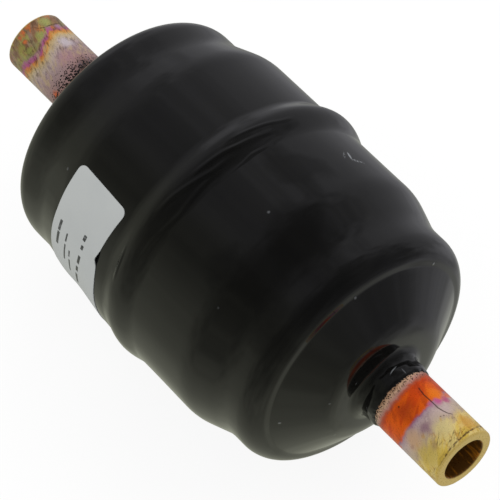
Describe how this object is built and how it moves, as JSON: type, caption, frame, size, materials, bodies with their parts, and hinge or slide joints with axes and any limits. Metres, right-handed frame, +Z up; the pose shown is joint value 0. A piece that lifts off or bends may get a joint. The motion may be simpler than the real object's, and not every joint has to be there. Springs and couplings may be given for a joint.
{
  "type": "filter drier",
  "caption": "Welded steel filter drier with cone ends, stepped barrel, girth weld and solder sockets, holding a moulded desiccant core between pads and plates.",
  "frame": {"origin": "middle of the overall length, on the flow axis", "axes": "+X along the flow axis from the inlet socket to the outlet socket, +Z up, the label towards -Y"},
  "size_m": [0.1412, 0.0668, 0.0668],
  "materials": {
    "shell_paint": "thick gloss black enamel",
    "socket_copper": "copper with heat tint from brazing",
    "label_film": "smooth pale grey film, no print",
    "spring_steel": "bare spring wire",
    "plate_steel": "stamped sheet, plain",
    "mesh_steel": "woven stainless wire",
    "fibre_pad": "needled felt",
    "seal_fibre": "pressed fibre",
    "core_block": "porous moulded desiccant"
  },
  "bodies": {
    "root": {"inlet_shell": "shell_paint", "outlet_shell": "shell_paint", "girth_weld": "shell_paint", "inlet_fitting": "socket_copper", "outlet_fitting": "socket_copper", "inlet_braze_fillet": "shell_paint", "outlet_braze_fillet": "shell_paint", "rating_label": "label_film", "core_spring": "spring_steel", "pressure_plate": "plate_steel", "support_plate": "plate_steel", "outlet_screen": "mesh_steel", "inlet_pad": "fibre_pad", "outlet_pad": "fibre_pad", "core_seal_ring": "seal_fibre", "desiccant_core": "core_block"}
  },
  "joints": []
}
